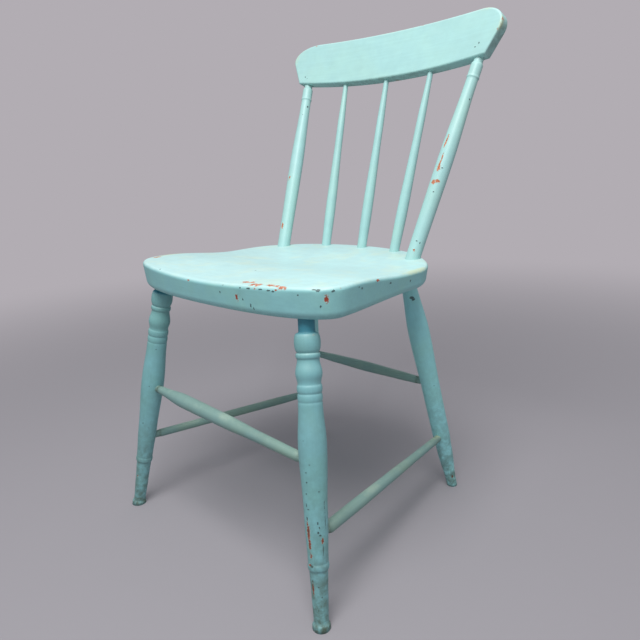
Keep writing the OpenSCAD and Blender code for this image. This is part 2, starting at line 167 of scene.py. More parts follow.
def point_attribute(piece, name, values):
    """Stores one number, or one vector, for each point of a piece, for its material to read."""
    values = np.asarray(values, np.float32)
    kind, field = ("FLOAT", "value") if values.ndim == 1 else ("FLOAT_VECTOR", "vector")
    piece.data.attributes.new(name, kind, "POINT").data.foreach_set(field, values.ravel())


def soft(values, low, high):
    """Rises smoothly from 0 at low to 1 at high."""
    t = np.clip((values - low) / (high - low), 0.0, 1.0)
    return t * t * (3.0 - 2.0 * t)


def blur(values, sigma, step):
    """Gaussian average of evenly spaced values, with the ends held."""
    reach = int(4 * sigma / step) + 1
    kernel = np.exp(-0.5 * (np.arange(-reach, reach + 1) * step / sigma) ** 2)
    return np.convolve(np.pad(values, reach, mode="edge"), kernel / kernel.sum(), mode="valid")


def waves(seed, *coordinates, count=6, finest=1.0):
    """Gentle unevenness of hand work: a sum of sine waves of seeded direction and phase."""
    random = np.random.default_rng(seed)
    total = 0.0
    for _ in range(count):
        pulls = random.uniform(-finest, finest, len(coordinates))
        phase = random.uniform(0, 2 * np.pi)
        total = total + np.sin(sum(p * c for p, c in zip(pulls, coordinates)) + phase)
    return total / count


# %% [markdown]
# ## Where paint is lost
# A chip is a small oval with a centre and half lengths. Its field is 1 at the centre, 0 on the
# oval's edge and falls below 0 outside. The mesh carries the strongest field at each point, and
# the material breaks its edge up with noise, so a short list of ovals looks like torn paint.


# %% Chip fields
NO_CHIP = -1.5


def field_of(ovals, distance):
    """Strongest field of a list of ovals: 1 less the distance, counted in half lengths."""
    field = None
    for oval in ovals:
        here = np.maximum(1.0 - distance(oval), NO_CHIP)
        field = here if field is None else np.maximum(field, here)
    return field


def solid_distance(places):
    """Distance from ovals given as (x, y, z, half x, half y, half z), in millimetres."""
    def distance(oval):
        return np.linalg.norm((places - oval[:3]) / np.array(oval[3:6]), axis=-1)
    return distance


# %% [markdown]
# ## Reading turned pieces from the CAD model
# Legs, posts, spindles and stretchers were turned on a lathe: each is a profile spun round a
# straight axis. Every normal of such a surface meets its axis, so the axis is the line nearest
# to all normals, and one small matrix gives it. The profile is then read as radius against
# distance along the axis. This keeps Blender's shapes exactly where the CAD has them.


# %% Read an axis and a profile
RING_MATCH, RING_APART, RING_CORNERS = 2e-5, 1e-4, 24


def cad_triangles(node):
    """Centre, normal and area of each triangle of a CAD node, and all of its corner points."""
    mesh = frame["nodes"][node].data
    count = len(mesh.polygons)
    centres, normals, areas = np.empty(count * 3), np.empty(count * 3), np.empty(count)
    mesh.polygons.foreach_get("center", centres)
    mesh.polygons.foreach_get("normal", normals)
    mesh.polygons.foreach_get("area", areas)
    points = np.empty(len(mesh.vertices) * 3)
    mesh.vertices.foreach_get("co", points)
    return centres.reshape(-1, 3), normals.reshape(-1, 3), areas, points.reshape(-1, 3)


def turning_axis(node, along):
    """Point on the axis and its direction, from the least singular vector of (x cross n, n).

    A line through p with direction d meets the normal n at x when d.(x cross n) + (p cross d).n
    is nothing. Triangles that miss, such as the floor cut and sockets, are dropped and refitted.
    """
    centres, normals, areas, points = cad_triangles(node)
    middle = points.mean(axis=0)
    rows = np.concatenate([np.cross(centres - middle, normals) * 10.0, normals], axis=1)
    keep = np.ones(len(rows), bool)
    for _ in range(6):
        _, _, vt = np.linalg.svd(rows[keep] * np.sqrt(areas[keep])[:, None], full_matrices=False)
        line = vt[-1]
        direction, moment = line[:3] * 10.0, line[3:]
        size = np.linalg.norm(direction)
        direction, moment = direction / size, moment / size
        miss = np.abs(rows[:, :3] @ direction / 10.0 + rows[:, 3:] @ moment)
        keep = miss < max(0.0004, np.percentile(miss, 60) * 2.0)
    if direction @ along < 0:
        direction, moment = -direction, -moment
    foot = middle + np.cross(direction, moment)
    return foot, direction, points


def read_profile(foot, direction, points):
    """Rings of the CAD mesh as distance along the axis and radius: where many corners agree."""
    along = (points - foot) @ direction
    radius = np.linalg.norm(points - foot - along[:, None] * direction, axis=1)
    corners = np.round(np.stack([along, radius], 1) / RING_MATCH)
    keys, members = np.unique(corners, axis=0, return_counts=True)
    rings = keys[members >= RING_CORNERS] * RING_MATCH
    places = np.unique(np.round(rings[:, 0] / RING_APART))
    best = [rings[np.round(rings[:, 0] / RING_APART) == place].max(axis=0) for place in places]
    return np.array(best)


print("rings read on a front leg:", len(read_profile(*turning_axis("leg_front_right", UP))))

# %% [markdown]
# ## Turned pieces
# The profile is softened a little, because the coats of paint round off every groove. Rings
# are set closer together where the radius changes fast. A lathe hand leaves slight unevenness,
# which a few sine waves give. Feet are cut level: each line along the leg ends on the floor.
# Each piece carries its own place, shifted by its own amount, so that no two wear alike.

# %% Build a turned piece
OWN_SHIFT = 0.731
FINE = 0.1 * MM
RING_STEP = 1.9 * MM
LEVEL_REACH = 20 * MM
HAND_WAVE = 0.12 * MM


def softened(profile):
    """Profile on an even fine step, its paint-filled radius, and how far it stands proud."""
    places = np.arange(profile[0, 0], profile[-1, 0], FINE)
    radius = np.interp(places, profile[:, 0], profile[:, 1])
    filled = blur(radius, 0.45 * MM, FINE)
    return places, filled, filled - blur(radius, 3.5 * MM, FINE)


def ring_places(places, radius):
    """Places of the rings: even steps of length plus two and a half times the change of radius."""
    travel = np.cumsum(FINE + 2.5 * np.abs(np.gradient(radius)))
    rows = int(travel[-1] / RING_STEP)
    return np.interp(np.linspace(travel[0], travel[-1], rows), travel, places)


def turned_piece(name, around, seed, zero=FRONT, along=UP, level_foot=False):
    """Grid p + s d + r(s) (cos a u + sin a v): a profile carried round a straight axis."""
    origin, direction, points = turning_axis(name, along)
    if level_foot:
        origin = origin - direction * origin[2] / direction[2]
    places, radius, proud = softened(read_profile(origin, direction, points))
    first = zero - (zero @ direction) * direction
    first /= np.linalg.norm(first)
    second = np.cross(direction, first)
    angle = np.arange(around) * 2 * np.pi / around
    ray = np.cos(angle)[:, None] * first + np.sin(angle)[:, None] * second
    rings = ring_places(places, radius)
    if level_foot:
        rings = np.concatenate([[0.0], rings[rings > 0.6 * MM]])
        floor_place = -radius[np.searchsorted(places, 0.0)] * ray[:, 2] / direction[2]
        lift = 1.0 - soft(rings, 0.0, LEVEL_REACH)
        along_axis = rings[:, None] + lift[:, None] * floor_place
    else:
        along_axis = np.repeat(rings[:, None], around, axis=1)
    size = np.interp(along_axis, places, radius)
    hand = waves(seed, np.cos(angle) * 1.6, np.sin(angle) * 1.6, along_axis / (28 * MM))
    size = size - HAND_WAVE * (1 + hand) * soft(along_axis, places[0], places[0] + 30 * MM)
    grid = origin + along_axis[..., None] * direction + size[..., None] * ray
    return {"grid": grid, "along": along_axis, "radius": size, "angle": angle, "seed": seed,
            "proud": np.interp(along_axis, places, proud), "origin": origin, "direction": direction,
            "profile": (places, radius)}


def finish_turned(name, shape, chips, specks, thin, joints_and_shade=(), dents=(), sheltered=None):
    """Closes a turned grid, presses its dents in, and stores the masks that its paint reads."""
    grid, along = shape["grid"].copy(), shape["along"]
    rows, around = along.shape
    turn = np.degrees(shape["angle"])

    def distance(oval):
        """From an oval given as place along, angle round, and half lengths, along and across."""
        at, azimuth, half_long, half_wide = oval
        off = (turn - azimuth + 180.0) % 360.0 - 180.0
        across = np.radians(off) * shape["radius"] / MM
        return np.hypot((along / MM - at) / half_long, across / half_wide)

    for oval in dents:
        inward = shape["origin"] + along[..., None] * shape["direction"] - grid
        inward /= np.linalg.norm(inward, axis=-1, keepdims=True)
        grid += inward * (oval[4] * MM * np.exp(-distance(oval[:4]) ** 2))[..., None]
    piece = mesh_object(name + "_painted", with_ends(grid), *tube_faces(rows, around))
    across = shape["radius"] * np.cos(shape["angle"]), shape["radius"] * np.sin(shape["angle"])
    own = np.stack([*across, along], axis=-1) + OWN_SHIFT * shape["seed"]
    point_attribute(piece, "own", with_ends(own))
    # Painted shade in the grooves, and darkening near each given place: painted shade towards the floor on a
    # leg, a dark joint on a stretcher.
    dirt = soft(-shape["proud"], 0.12 * MM, 0.8 * MM) * 0.15
    for at, reach in joints_and_shade:
        dirt = np.maximum(dirt, np.exp(-np.abs(along - at) / reach))
    masks = {label: field_of(ovals, distance) if ovals else np.full(along.shape, NO_CHIP)
             for label, ovals in (("chip", chips), ("speck", specks), ("thin", thin))}
    masks["wear"] = soft(shape["proud"], 0.1 * MM, 0.9 * MM)
    masks["dirt"] = np.clip(dirt, 0, 1)
    # Painted shade from the seat: above this place a leg's neck turns deep blue.
    if sheltered:
        masks["sheltered"] = soft(along, sheltered - 3 * MM, sheltered + 2 * MM)
    for label, values in masks.items():
        point_attribute(piece, label, with_ends(values)[:, 0])
    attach(piece, "root")
    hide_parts(name)
    return piece


# %% [markdown]
# ## The four legs
# The front legs carry a ball, a vase and rings, the rear legs are plain tapers. The right front
# leg is the one nearest to the camera, and it shows the longest scrapes: shoes and brooms have
# taken the paint off its foot down to the brick-red coat. Each leg is painted darker towards the
# floor, as painted shade, and close under the seat its neck is painted deep blue, as painted shade
# from the seat. Each oval is the distance along the leg from the floor, the angle from the
# chair's front towards its right, and two half lengths.

# %% Legs
SEAT_UNDER = 404 * MM
# How far below the seat's underside each leg's neck is painted deep blue, as painted shade.
NECK_SHADE_LENGTH = {"leg_front_right": 21 * MM, "leg_front_left": 9 * MM, "leg_rear_right": 3 * MM,
               "leg_rear_left": 3 * MM}
# How far up from the floor the legs are painted darker, as painted shade.
FLOOR_SHADE_REACH = 120 * MM
LEG_CHIPS = {
    "leg_front_right": [(134, 1, 13, 2.6), (117, 3, 7, 2.4), (102, 5, 3.4, 1.8), (89, -7, 1.7, 2.8),
                        (57, -2, 9, 1.9), (122, 75, 4.0, 1.8), (76, -60, 8, 1.6), (30, 150, 9, 2),
                        (210, 200, 5, 2)],
    "leg_front_left": [(86, -40, 12, 1.8), (120, -55, 7, 1.5), (60, 10, 2.2, 1.4), (228, -70, 6, 2),
                       (40, 200, 8, 2)],
    "leg_rear_right": [(60, 130, 10, 2), (96, 150, 5, 1.6), (22, 60, 3, 2), (300, 160, 6, 2)],
    "leg_rear_left": [(70, -130, 9, 2), (150, -150, 5, 1.6), (24, 200, 4, 2.4)],
}
LEG_SPECKS = {
    "leg_front_right": [(146, 53, 3.0, 1.2), (140, 60, 2.2, 1.1), (134, 53, 1.8, 1.7), (130, 62, 1.6, 2.4),
                        (152, -2, 3.6, 1.3), (88, 8, 1.8, 2.4), (67, 1, 2.0, 1.3), (169, 0, 3.2, 0.9),
                        (164, 8, 1.0, 2.2), (170, 92, 11, 0.7), (148, 93, 13, 0.8), (110, 77, 9, 0.7),
                        (213, 13, 1.2, 1.6), (200, 12, 1.6, 1.2), (185, 5, 1.5, 1.0), (188, 65, 1.4, 1.2),
                        (224, 30, 1.0, 1.4), (60, 40, 1.2, 1.4), (46, 60, 1.0, 1.2), (28, 30, 1.4, 1.0),
                        (255, 8, 1.2, 1.0)],
    "leg_front_left": [(308, 55, 1.4, 1.3), (168, 23, 1.2, 1.4), (160, 60, 1.0, 1.2), (240, 40, 1.2, 1.0)],
    "leg_rear_right": [(375, 40, 2.8, 4.2), (371, 50, 2.0, 3.0), (210, 60, 1.2, 1.2)],
    "leg_rear_left": [(250, 40, 1.4, 1.2)],
}
for seed, (name, chips) in enumerate(LEG_CHIPS.items(), start=1):
    shape = turned_piece(name, 80, seed, level_foot=True)
    joint = SEAT_UNDER / shape["direction"][2]
    dents = [(at, turn, 3, 2, 0.5) for at, turn, _, _ in chips[:3]]
    leg = finish_turned(name, shape, chips, LEG_SPECKS[name], [], [(0.0, FLOOR_SHADE_REACH)], dents,
                        sheltered=joint - NECK_SHADE_LENGTH[name])
    print(name, "points", len(leg.data.vertices))

# %% [markdown]
# ## The stretchers
# Four plain sticks with a swelling in the middle join the legs. They are where feet rest, so
# the top of the front one is rubbed thin and yellowish. Their angle is counted from the top.

# %% Stretchers
JOINT_REACH = 3 * MM
RIGHT = np.array([1.0, 0.0, 0.0])
BACK = -FRONT
STRETCHERS = {
    "stretcher_front": (RIGHT, [(352, -40, 1.4, 1.2)], [(296, -5, 1.6, 3.0), (395, -20, 1.2, 1.4)],
                        [(285, 0, 34, 8), (200, 10, 20, 5)]),
    "stretcher_rear": (RIGHT, [], [(120, 20, 1.4, 1.2)], [(190, 0, 30, 6)]),
    "stretcher_left": (BACK, [(150, 60, 4, 1.6)], [(90, 0, 1.6, 1.4)], [(180, 0, 26, 6)]),
    "stretcher_right": (BACK, [(210, -70, 4, 1.6)], [(120, -50, 1.2, 1.4)], [(180, 0, 30, 7)]),
}
for seed, (name, (along, chips, specks, thin)) in enumerate(STRETCHERS.items(), start=5):
    shape = turned_piece(name, 52, seed, zero=UP, along=along)
    places, radius = shape["profile"]
    bare = places[radius > radius[0] + 0.4 * MM]
    finish_turned(name, shape, chips, specks, thin, [(at, JOINT_REACH) for at in bare[[0, -1]]])
    print(name, "shows", round(float(bare[-1] - bare[0]) / MM), "mm between the legs")

# %% [markdown]
# ## Posts and spindles
# The back posts swell in the middle and carry a small collar below the crest rail. Hands and
# coats have worn a broken line of chips down the right post. Spindles are slim and almost clean.
# Each oval's first number is its height along the piece above the seat's deck.

# %% Posts and spindles
POST_SOCKET = 26 * MM
BACK_CHIPS = {
    "back_post_right": [(193, -6, 8, 1.5), (184, -10, 5, 1.3), (163, 4, 7, 1.2), (153, 1, 6, 1.5),
                        (146, 2, 4.5, 2.8), (123, -2, 3.2, 3.6), (126, 26, 2.4, 3.8), (12, 22, 2.2, 1.8),
                        (226, 200, 6, 1.4), (90, 170, 5, 2)],
    "back_post_left": [(153, -42, 1.8, 2.2), (134, 2, 2.6, 2.4), (129, -6, 1.4, 1.4), (37, 3, 6, 2.6),
                       (200, 190, 6, 1.6), (110, -150, 4, 2)],
    "spindle_left": [(120, 200, 4, 1.2)],
    "spindle_middle": [],
    "spindle_right": [(90, 190, 3, 1.2)],
}
BACK_SPECKS = {
    "back_post_right": [(147, 30, 1.2, 2.4), (27, 20, 1.3, 1.8), (25, 48, 2.4, 1.0), (13, 30, 1.2, 1.0),
                        (262, 70, 1.4, 1.4), (108, 24, 1.2, 1.3)],
    "back_post_left": [(282, 78, 2.4, 1.8), (264, 30, 1.0, 1.2)],
}
for seed, (name, chips) in enumerate(BACK_CHIPS.items(), start=9):
    shape = turned_piece(name, 64 if name.startswith("back_post") else 40, seed)
    start = shape["along"][0, 0]
    shape["along"] = shape["along"] - start - POST_SOCKET
    shape["origin"] = shape["origin"] + shape["direction"] * (start + POST_SOCKET)
    finish_turned(name, shape, chips, BACK_SPECKS.get(name, []), [])
    print(name, "leans", round(math.degrees(math.acos(shape["direction"][2])), 1), "deg")

# %% [markdown]
# ## The seat
# One thick plank, sawn to a shield shape, slightly hollowed and rounded at its edges. Its outline
# is the CAD's: four Bezier curves for half of it, mirrored. Rings of that outline, pulled inwards
# and set at heights, run from the middle of the underside round the edge to the middle of the top.

# %% Seat surface
SEAT_HALF, SEAT_REAR_HALF, SEAT_DEPTH = 225.0, 209.0, 382.0
DECK_HIGH, UNDER_HIGH, FRONT_RISE, HOLLOW = 438, 404.0, 12, 5
UNDERCUT, UNDER_ROUND, TOP_ROUND = 2.5, 13.0, 5.5
SEAT_AROUND = 860


def bezier(a, b, c, d, count=200):
    """Cubic Bezier curve from a to d, pulled towards b and c, without its last point."""
    t = np.linspace(0, 1, count, endpoint=False)[:, None]
    a, b, c, d = (np.array(p, float) for p in (a, b, c, d))
    return a * (1 - t) ** 3 + 3 * b * t * (1 - t) ** 2 + 3 * c * t ** 2 * (1 - t) + d * t ** 3


def even_loop(points, count):
    """The same closed line through evenly spaced points."""
    closed = np.concatenate([points, points[:1]])
    travel = np.concatenate([[0], np.cumsum(np.linalg.norm(np.diff(closed, axis=0), axis=1))])
    at = np.linspace(0, travel[-1], count, endpoint=False)
    return np.stack([np.interp(at, travel, closed[:, k]) for k in range(2)], axis=-1)


def loop_normals(points):
    """Outward normals of a closed line that runs anticlockwise."""
    run = np.roll(points, -1, axis=0) - np.roll(points, 1, axis=0)
    return np.stack([run[:, 1], -run[:, 0]], -1) / np.linalg.norm(run, axis=1)[:, None]


def seat_outline():
    """Half of the outline from the middle of the front to the middle of the back, then mirrored."""
    front, back, w, r = -SEAT_DEPTH / 2, SEAT_DEPTH / 2, SEAT_HALF, SEAT_REAR_HALF
    wide, turn = front + 70, back - 136
    corner = np.array([r - 60, back - 46])
    run = np.array([-math.cos(math.radians(43)), math.sin(math.radians(43))])
    half = np.concatenate([
        bezier([0, front], [w - 75, front], [w, wide - 45], [w, wide]),
        bezier([w, wide], [w, wide + 40], [r, turn - 50], [r, turn]),
        bezier([r, turn], [r, turn + 40], corner - 36 * run, corner),
        bezier(corner, corner + 40 * run, [60, back], [0, back])])
    mirrored = np.concatenate([[[0, back]], half[:0:-1] * [-1, 1]])
    return even_loop(np.concatenate([half, mirrored]), SEAT_AROUND)


def ease(t):
    """Half a cosine wave from 0 to 1."""
    return (1 - np.cos(np.pi * np.clip(t, 0, 1))) / 2


def seat_top(x, y):
    """Height of the worked top: level at the deck, hollow in the middle, rising to the front."""
    hollow = HOLLOW * (1 + np.cos(np.pi * np.clip(np.abs(x) / (SEAT_HALF * 0.92), 0, 1))) / 2
    hollow = hollow * (1 - ease((y - SEAT_DEPTH / 2 + 170) / 90))
    risen = DECK_HIGH + FRONT_RISE * ease((40 - y) / 150)
    return risen - 2 * ease((SEAT_DEPTH / 2 - 70 - y) / 60) - hollow


def seat_grid():
    """Rings of the outline from the underside's middle, round the edge, to the top's middle."""
    outline = seat_outline()
    normals = loop_normals(outline)

    def ring(inset, share, height):
        """The outline pulled in along its normals, shrunk to a share, and set at a height.

        A height above 0 is counted from the floor, and one of 0 or less from the worked top.
        """
        flat = (outline - inset * normals) * share
        high = height + seat_top(*flat.T) if height <= 0 else np.full(SEAT_AROUND, height)
        return np.column_stack([flat, high])

    under = UNDERCUT + UNDER_ROUND
    rings = [ring(under, share, UNDER_HIGH) for share in np.linspace(0.06, 1.0, 12)[:-1]]
    curve = [(1 - math.sin(t), 1 - math.cos(t)) for t in np.linspace(0, np.pi / 2, 11)]
    rings += [ring(UNDERCUT + UNDER_ROUND * a, 1, UNDER_HIGH + UNDER_ROUND * b) for a, b in curve]
    low, high = rings[-1], ring(0, 1, -TOP_ROUND)
    rings += [low + (high - low) * share for share in np.linspace(0, 1, 15)[1:-1]]
    rings += [ring(TOP_ROUND * (1 - math.cos(t)), 1, -TOP_ROUND * (1 - math.sin(t)))
              for t in np.linspace(0, np.pi / 2, 9)]
    rings += [ring(TOP_ROUND, share, 0) for share in 1 - np.linspace(0, 1, 46)[1:] ** 1.25 * 0.96]
    return np.array(rings)


grid = seat_grid()
print("seat rings", grid.shape, "mm from", grid.min((0, 1)).round(1), "to", grid.max((0, 1)).round(1))

# %% [markdown]
# The seat's chips sit where shoes, table edges and vacuum cleaners hit it: along the front rim,
# on the near corner and on the faces below. Each oval is (x, distance behind the front edge,
# depth below the top, and three half lengths along those directions), in millimetres. A dent's
# last number is how deep it is pressed in.

# %% Seat damage
SEAT_CHIPS = [
    (-211, 66, 0, 5, 8, 3), (84, 21, 0, 6, 5, 3), (95, 24, 0, 4.5, 4.5, 3), (109, 14, 0, 5, 6, 3),
    (118, 15, 0, 4.5, 7, 3), (136, 20, 0, 7, 4.5, 3), (148, 20, 0, 4, 3.5, 3), (158, 17, 0, 4.5, 6, 3),
    (164, 18, 0, 3.5, 3, 3), (118, 7, 4, 3, 3, 0.9), (152, 13, 4, 3, 3, 1.4), (83, 5, 18, 2.4, 4, 5),
    (213, 42, 15, 2.8, 3, 5.5), (225, 55, 2, 3, 5, 1.2), (221, 48, 1, 3, 3, 1.2), (224, 122, 3, 3, 3.5, 1.4),
    (-160, 12, 20, 2, 4, 3), (-222, 120, 2, 3, 6, 2), (-212, 250, 3, 3, 4, 2), (120, 380, 3, 5, 3, 2),
    (-60, 382, 4, 7, 3, 1.6), (-150, 368, 2, 4, 4, 2)]
SEAT_SPECKS = [
    (-112, 10, 0, 1.6, 3, 1), (58, 4, 3, 2, 3, 1.2), (63, 4, 4, 1.4, 3, 1), (92, 4, 4, 1.6, 3, 1.2),
    (107, 6, 4, 4, 3, 1.2), (128, 8, 4, 5, 3, 1), (141, 10, 5, 4, 3, 1.2), (148, 12, 6, 3, 3, 1.4),
    (50, 2, 13, 1.4, 4, 2.4), (107, 8, 28, 1.2, 4, 4), (112, 8, 31, 1, 4, 3), (94, 6, 20, 1.2, 4, 1.6),
    (205, 36, 3, 2.8, 4, 2.4), (201, 33, 2, 3, 3, 0.9), (206, 37, 24, 1.2, 4, 2), (182, 23, 9, 1.2, 4, 1.6),
    (218, 50, 5, 2, 3, 2), (226, 60, 5, 2, 3.5, 1.4), (226, 50, 8, 2, 2, 1.2), (215, 169, 10, 2, 3, 1.6),
    (224, 99, 10, 3, 2.4, 1.8), (224, 92, 7, 3, 1.4, 1.2), (209, 224, 13, 3, 1.4, 2.2),
    (8, 3, 9, 1.2, 3, 1.2), (-40, 3, 17, 1.2, 3, 1.6), (22, 90, 0, 1.6, 2.4, 2)]
SEAT_THIN = [(207, 246, 1, 7, 46, 5), (-216, 100, 0, 6, 40, 4)]
SEAT_DENTS = [
    (150, 15, 3, 20, 6, 5, 0.7), (206, 36, 2, 7, 7, 5, 0.9), (226, 56, 2, 6, 9, 4, 0.7),
    (88, 5, 18, 5, 6, 7, 0.4), (-211, 66, 0, 6, 10, 4, 0.3), (224, 120, 2, 5, 8, 4, 0.5),
    (213, 42, 12, 4, 6, 7, 0.4)]

behind = grid[..., 1] + SEAT_DEPTH / 2
below = seat_top(grid[..., 0], grid[..., 1]) - grid[..., 2]
places = np.stack([grid[..., 0], behind, below], axis=-1)
seat_slide = (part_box("seat")[0].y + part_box("seat")[1].y) / 2
outward = np.gradient(grid, axis=1)
outward = np.cross(outward, np.gradient(grid, axis=0))
outward /= np.maximum(np.linalg.norm(outward, axis=-1, keepdims=True), 1e-9)
worked = grid * MM
for *oval, depth in SEAT_DENTS:
    worked -= outward * (depth * MM * np.exp(-solid_distance(places)(oval) ** 2))[..., None]
unevenness = waves(31, grid[..., 0] / 30, grid[..., 1] / 30, grid[..., 2] / 15)
worked += outward * (HAND_WAVE * unevenness)[..., None]
worked[..., 1] += seat_slide
print("dents in the seat:", len(SEAT_DENTS), "moved back by", round(seat_slide / MM, 2), "mm")


# %% Close a board and store its masks
def board_masks(places, chips, specks, thin, wear, dirt):
    """The strongest field of each list of ovals at each place of a board, with wear, and a mask of dirt and
    painted shade.
    """
    distance = solid_distance(places)
    return {"chip": field_of(chips, distance), "speck": field_of(specks, distance),
            "thin": field_of(thin, distance), "wear": wear, "dirt": dirt}


def finish_board(name, grid, own, masks, ends_meet=False):
    """Closes a board's grid, with a middle point on each end or where its ends meet in a line."""
    quads, fans = tube_faces(*grid.shape[:2])
    piece = mesh_object(name + "_painted", with_ends(grid), quads, fans[:0] if ends_meet else fans)
    point_attribute(piece, "own", with_ends(own))
    for label, values in masks.items():
        point_attribute(piece, label, with_ends(values)[:, 0])
    if ends_meet:
        joined = bmesh.new()
        joined.from_mesh(piece.data)
        bmesh.ops.remove_doubles(joined, verts=joined.verts, dist=1e-6)
        bmesh.ops.delete(joined, geom=[v for v in joined.verts if not v.link_faces], context="VERTS")
        joined.to_mesh(piece.data)
        joined.free()
    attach(piece, "root")
    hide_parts(name)
    return piece


# %% Seat object
rim_wear = np.exp(-(np.maximum(below - 1, 0) / 5) ** 2) * soft(np.abs(outward[..., 2]), 0.98, 0.3)
# Painted shade: the seat's underside and lower round are darkened.
underside_shade = soft(below, 32, 40) * 0.2
seat_masks = board_masks(places, SEAT_CHIPS, SEAT_SPECKS, SEAT_THIN, rim_wear, underside_shade)
seat = finish_board("seat", worked, grid * MM, seat_masks)
print("seat points", len(seat.data.vertices))

# %% [markdown]
# ## The crest rail
# The top rail is a board sawn on a bow, leaning back, with rounded upper corners. Its edges were
# eased by hand. The grid runs from end to end, and at each step goes once round the board: up
# its front, over the top edge, down its back and under the lower edge. All sizes are in
# millimetres, and the lean is in degrees.

# %% Crest rail surface
CREST = {"half": 226.0, "foot_half": 205.0, "high": 84.0, "thick": 21.0, "edge": 3.2, "arch": 8.0,
         "left_corner": 58.0, "right_corner": 42.0, "corner_high": 30.0, "bow": 14.0, "lean": 20.0,
         "foot_back": 255.0, "foot_high": 728.0}
CREST_COLUMNS, CREST_FACE, CREST_EDGE = 300, 44, 7
COLUMN_START = [218.0, 32.0]
CORE_HALF = 181.0


def crest_side(reach):
    """Half of the outline: the arched lower edge, then an ellipse that the straight end touches.

    Seen from the ellipse's middle, with both of its half lengths counted as 1, the end's lower
    tip lies at some angle and distance, and its tangent meets the ellipse acos(1 / distance) on.
    """
    x = np.linspace(0, CREST["foot_half"], 200)
    lower = np.column_stack([x, CREST["arch"] * (x / CREST["foot_half"]) ** 2])
    middle = np.array([CREST["half"] - reach, CREST["high"] - CREST["corner_high"]])
    tip = (lower[-1] - middle) / [reach, CREST["corner_high"]]
    first = math.atan2(tip[1], tip[0]) + math.acos(1 / math.hypot(*tip))
    turn = np.linspace(first, np.pi / 2, 80)
    corner = middle + np.column_stack([np.cos(turn), np.sin(turn)]) * [reach, CREST["corner_high"]]
    return np.concatenate([lower, corner])


def crest_outline():
    """Both sides joined: the right one, whose corner is worn less round, and the left one mirrored."""
    right, left = crest_side(CREST["right_corner"]), crest_side(CREST["left_corner"])
    return even_loop(np.concatenate([right, left[:0:-1] * [-1, 1]]), 4000)


def evened(line):
    """The same line with as many points as the crest rail's grid has columns."""
    share = np.linspace(0, 1, CREST_COLUMNS) * (len(line) - 1)
    return np.column_stack([np.interp(share, np.arange(len(line)), line[:, k]) for k in range(2)])


def crest_chains(inset):
    """Lower and upper lines of the outline, from left end to right end, scaled towards the middle."""
    middle = np.array([0.0, CREST["high"] / 2])
    loop = crest_outline()
    left = int(np.argmin(np.hypot(*(loop - [-COLUMN_START[0], COLUMN_START[1]]).T)))
    right = int(np.argmin(np.hypot(*(loop - COLUMN_START).T)))
    shrink = 1 - inset / np.array([CREST["half"], CREST["high"] / 2])
    loop = np.roll(middle + (loop - middle) * shrink, -left, axis=0)
    split = (right - left) % len(loop)
    return evened(loop[:split + 1]), evened(np.concatenate([loop[split:], loop[:1]])[::-1])


def crest_point(flat, off):
    """Board place (x, height) at a distance off its middle layer, bowed, leaned and put in place."""
    bow_radius = (CREST["foot_half"] ** 2 + CREST["bow"] ** 2) / (2 * CREST["bow"])
    y = -bow_radius + np.sqrt((bow_radius + off) ** 2 - flat[..., 0] ** 2)
    lean = math.radians(CREST["lean"])
    back = y * math.cos(lean) + flat[..., 1] * math.sin(lean) + CREST["foot_back"]
    height = -y * math.sin(lean) + flat[..., 1] * math.cos(lean) + CREST["foot_high"]
    return np.stack([flat[..., 0], back, height], axis=-1)


def crest_grid():
    """Columns from end to end, each a closed loop round the board, with its flat place.

    On the faces a column runs from the lower edge to a middle line and on to the upper edge. The
    middle line stops short of the ends, so the columns spread like a fan there and never cross.
    """
    edge, half = CREST["edge"], CREST["thick"] / 2
    turn = np.linspace(0, np.pi / 2, CREST_EDGE)
    low, high = crest_chains(edge)
    core_x = np.clip((low[:, 0] + high[:, 0]) / 2, -CORE_HALF, CORE_HALF)
    core = np.column_stack([core_x, np.full(CREST_COLUMNS, CREST["high"] / 2)])
    share = np.linspace(0, 1, CREST_FACE // 2)[:, None, None] ** 1.3
    face = np.concatenate([low + (core - low) * share, (high + (core - high) * share)[::-1][1:]])
    steps = [(line, -half) for line in face]
    eased = [(crest_chains(edge * (1 - math.sin(t))), half - edge * (1 - math.cos(t))) for t in turn[1:]]
    over = [(lines[1], -off) for lines, off in eased]
    over += [(line, -off) for line, off in over[::-1]]
    under = [(lines[0], off) for lines, off in eased]
    under += [(line, -off) for line, off in under[::-1]]
    steps += over + [(line, half) for line in face[::-1]] + under
    flats = np.array([flat for flat, _ in steps])
    offs = np.array([np.full(CREST_COLUMNS, off) for _, off in steps])
    return flats.transpose(1, 0, 2), offs.T


flats, offs = crest_grid()
print("crest grid", flats.shape, "thickness", offs.min(), "to", offs.max(), "mm")

# %% [markdown]
# The crest rail's ovals are (x, height up the board, distance behind its middle layer, and three
# half lengths). Its right end has lost most of its top coat and gone dark with handling.

# %% Crest rail damage and object
CREST_CHIPS = [(225.5, 58, -8.4, 1.2, 3.4, 1.6), (224, 50, -8.6, 1.2, 3, 1.4), (221, 42, -9.2, 1.2, 3.0, 1.4),
               (66, 84, -9, 2.4, 2, 4), (-226, 50, -6, 3, 4, 3), (-120, 84, 8, 6, 2, 3),
               (20, 0, 9, 5, 2, 3), (140, 84, 9, 7, 2, 3), (-190, 75, 9, 6, 3, 2)]
CREST_SPECKS = [(-191, 20, -11, 2.0, 1.4, 3), (-186, 17, -11, 1.2, 1.2, 3), (185, 22, -11, 1.6, 1.4, 3),
                (191, 27, -11, 1.2, 2.0, 3), (219, 36, 3, 2, 3, 2), (216, 28, 1, 2, 2, 1.5),
                (221, 42, 5, 2, 4, 2.4), (213, 22, 4, 2, 2.4, 2), (225, 54, 4, 2, 3.5, 2.5),
                (223, 48, 0, 2, 2, 1.4), (209, 15, 2, 2, 2, 1.6), (30, 40, -11, 1.2, 1, 3)]
